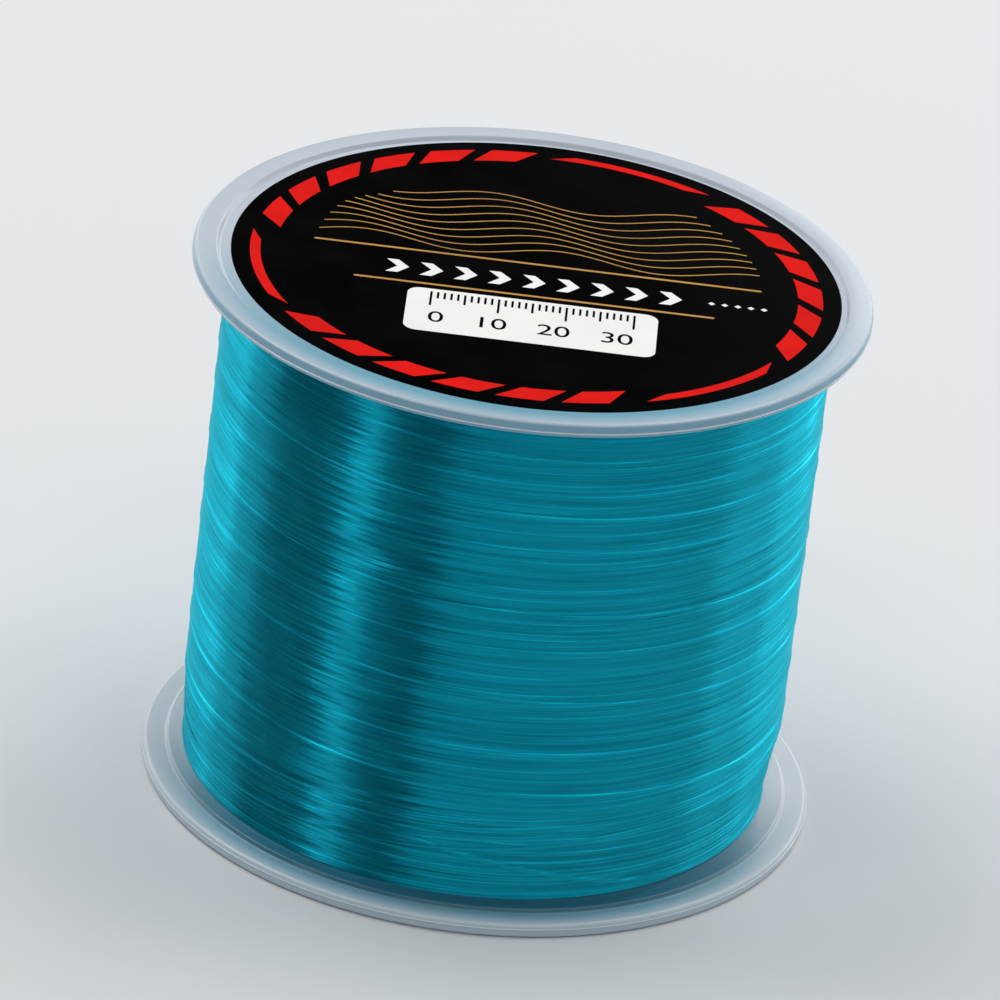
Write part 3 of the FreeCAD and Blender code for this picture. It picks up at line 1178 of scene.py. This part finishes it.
redRing = {"groups": 3, "firstAngle": 100.0, "slant": -5.0}
bars = {
    "Count": 6,
    "Step": radians(13.0),
    "Sweep": radians(9.5),
    "Radius": 20.9 * mm,
    "Width": 1.9 * mm,
}
arcs = {"Count": 1, "Sweep": radians(30.0), "Radius": 21.45 * mm, "Width": 0.8 * mm}
goldWaves = {
    "Count": 9,
    "First": 3.4 * mm,
    "Spacing": 1.15 * mm,
    "Reach": 17.2 * mm,
    "Wave Height": 0.95 * mm,
    "Wave Length": 15.0 * mm,
    "Width": 0.13 * mm,
    "Phase Shift": 260.0,
}
arrows = {"count": 9, "x": -1.0, "y": -1.6, "spacing": 2.6, "height": 2.2, "width": 0.9, "point": 0.85}
dots = {"count": 5, "x": 13.4, "y": -1.6, "spacing": 1.0, "size": 0.55}
rules = {"thickness": 0.28, "heights": (1.6, -4.1), "lengths": (34.0, 27.2)}
patch = {"width": 19.0, "depth": 7.4, "corner": 1.0, "x": 0.0, "y": -8.6}
figures = {"words": "0   10   20   30", "size": 2.6, "drop": 1.2}
ticks = {"count": 31, "span": 15.4, "width": 0.18, "inset": 0.5, "tens": 2.4, "fives": 1.7, "ones": 1.1}


def buildRing(shared):
    tree = buildBarsOnRing()
    ring = {**shared, "Slant": radians(redRing["slant"]), "Material": inkRed}
    toArc = (bars["Count"] - 1) * bars["Step"] / 2 + pi / redRing["groups"]
    meshes = []
    for i in range(redRing["groups"]):
        start = radians(redRing["firstAngle"] + i * 360 / redRing["groups"])
        for marks, first in ((bars, start), (arcs, start + toArc)):
            meshes.append(treeMesh("bars", tree, {**ring, **marks, "First Angle": first}))
    return joined(meshes, "label_bars")


def buildWhites():
    meshes = [slabMesh(roundedOutline(**patch))]
    h, lean, y = arrows["height"] / 2, arrows["point"], arrows["y"]
    for i in range(arrows["count"]):
        x = arrows["x"] + (i - (arrows["count"] - 1) / 2) * arrows["spacing"]
        far = x + arrows["width"]
        corners = [(x, y - h), (far, y - h), (far + lean, y), (far, y + h), (x, y + h), (x + lean, y)]
        meshes.append(slabMesh(corners))
    r, y = dots["size"] / 2, dots["y"]
    for i in range(dots["count"]):
        x = dots["x"] + i * dots["spacing"]
        meshes.append(slabMesh([(x - r, y), (x, y - r), (x + r, y), (x, y + r)]))
    return joined(meshes, "label_whites")


def buildRules():
    meshes = []
    t = rules["thickness"] / 2
    for y, length in zip(rules["heights"], rules["lengths"]):
        x = length / 2
        meshes.append(slabMesh([(-x, y - t), (x, y - t), (x + t, y), (x, y + t), (-x, y + t), (-x - t, y)]))
    return joined(meshes, "label_rules")


def buildFigures():
    # they lie higher than the white patch that they are printed on
    x, y = patch["x"], patch["y"]
    meshes = [printedText(figures["words"], figures["size"], x, y - figures["drop"], printHeight)]
    top = patch["y"] + patch["depth"] / 2 - ticks["inset"]
    half = ticks["width"] / 2
    for i in range(ticks["count"]):
        tall = ticks["tens" if i % 10 == 0 else ("fives" if i % 5 == 0 else "ones")]
        x = patch["x"] + (i / (ticks["count"] - 1) - 0.5) * ticks["span"]
        corners = [(x - half, top - tall), (x + half, top - tall), (x + half, top), (x - half, top)]
        meshes.append(slabMesh(corners, printHeight))
    return joined(meshes, "label_figures")


printSizes = {"Height": printHeight * mm, "Thickness": ink * mm}
addPrint("label_film", buildFilm(), inkBlack)
addPrint("label_bars", buildRing(printSizes), inkRed)
waves = treeMesh("label_waves", buildWaveLines(), {**printSizes, **goldWaves, "Material": inkGold})
addPrint("label_waves", joined([waves], "label_waves"), inkGold)
addPrint("label_whites", buildWhites(), inkWhite)
addPrint("label_rules", buildRules(), inkGold)
addPrint("label_figures", buildFigures(), inkBlack)
print("label ready")


# Floor, lights and camera

stage = {
    "floor": (222, 224, 226),
    "floorSize": 6.0,
    "floorRoughness": 0.9,
    "floorSheen": 0.1,
    "world": (0.92, 0.96, 1.0, 1.0),
    "worldStrength": 0.1,
    "lamps": {
        # azimuth, elevation, distance, width, height and the brightness of the panel's face
        "aboveLeft": (152, 56, 0.75, 0.55, 0.5, 2.75),
        "aboveRight": (40, 62, 0.75, 0.55, 0.5, 2.55),
        "crown": (-95, 62, 0.7, 0.8, 0.1, 4.0),
        "backLeft": (130, 15, 0.6, 0.62, 0.36, 0.95),
        "sideLeft": (163, 17, 0.6, 0.24, 0.38, 0.42),
        "streak": (-144, 24, 0.7, 0.12, 0.6, 0.9),
        "front": (-54, 24, 0.7, 1.86, 0.5, 0.35),
        "easeRight": (11, 18, 0.6, 0.27, 0.38, 0.6),
        "sideRight": (34, 16, 0.6, 0.25, 0.38, 0.95),
        "backRight": (62, 14, 0.6, 0.5, 0.36, 1.55),
    },
}


def buildFloor():
    bm = bmesh.new()
    bmesh.ops.create_grid(bm, x_segments=1, y_segments=1, size=stage["floorSize"])
    mesh = meshFrom(bm, "floor")
    material, tree, shader = newMaterial("floor_paper")
    shader["Base Color"].default_value = linear(*stage["floor"])
    shader["Roughness"].default_value = stage["floorRoughness"]
    shader["Specular IOR Level"].default_value = stage["floorSheen"]
    mesh.materials.append(material)
    floor = addObject("floor", mesh)


def lookingAt(place, target, roll=0.0):
    direction = (target - place).normalized()
    turn = direction.to_track_quat("-Z", "Y").to_matrix().to_4x4()
    return Matrix.Translation(place) @ turn @ Matrix.Rotation(roll, 4, "Z")


def onSphere(azimuth, elevation, distance, centre):
    a, e = radians(azimuth), radians(elevation)
    return centre + distance * Vector((cos(a) * cos(e), sin(a) * cos(e), sin(e)))


def buildLights():
    world = bpy.data.worlds.new("studio")
    world.use_nodes = True
    background = world.node_tree.nodes["Background"]
    background.inputs["Color"].default_value = stage["world"]
    background.inputs["Strength"].default_value = stage["worldStrength"]
    bpy.context.scene.world = world
    middle = Vector((0, 0, spoolHeight / 2))
    for name, (azimuth, elevation, distance, width, height, glow) in stage["lamps"].items():
        data = bpy.data.lights.new(name, "AREA")
        data.shape = "RECTANGLE"
        data.size, data.size_y = width, height
        data.energy = glow * pi * data.size * data.size_y
        light = addObject(name, data)
        light.matrix_world = lookingAt(onSphere(azimuth, elevation, distance, middle), middle)


view = {
    "elevation": 25.16,  # above the middle of the top face
    "distance": 28.0,  # flange radii from there
    "aim": (-0.5, 0.0, 23.8),
    "roll": 6.9,
    "lens": 345.9,
    "sensor": 36.0,
    "clip": (0.01, 20.0),
}


def buildCamera():
    data = bpy.data.cameras.new("camera")
    data.lens = view["lens"]
    data.sensor_width = view["sensor"]
    data.clip_start, data.clip_end = view["clip"]
    camera = addObject("camera", data)
    place = onSphere(-90, view["elevation"], view["distance"] * flangeRadius, Vector((0, 0, spoolHeight)))
    camera.matrix_world = lookingAt(place, Vector(view["aim"]) * mm, radians(view["roll"]))
    bpy.context.scene.camera = camera


buildFloor()
buildLights()
buildCamera()
bpy.context.scene.view_settings.view_transform = "Standard"
print("stage ready")
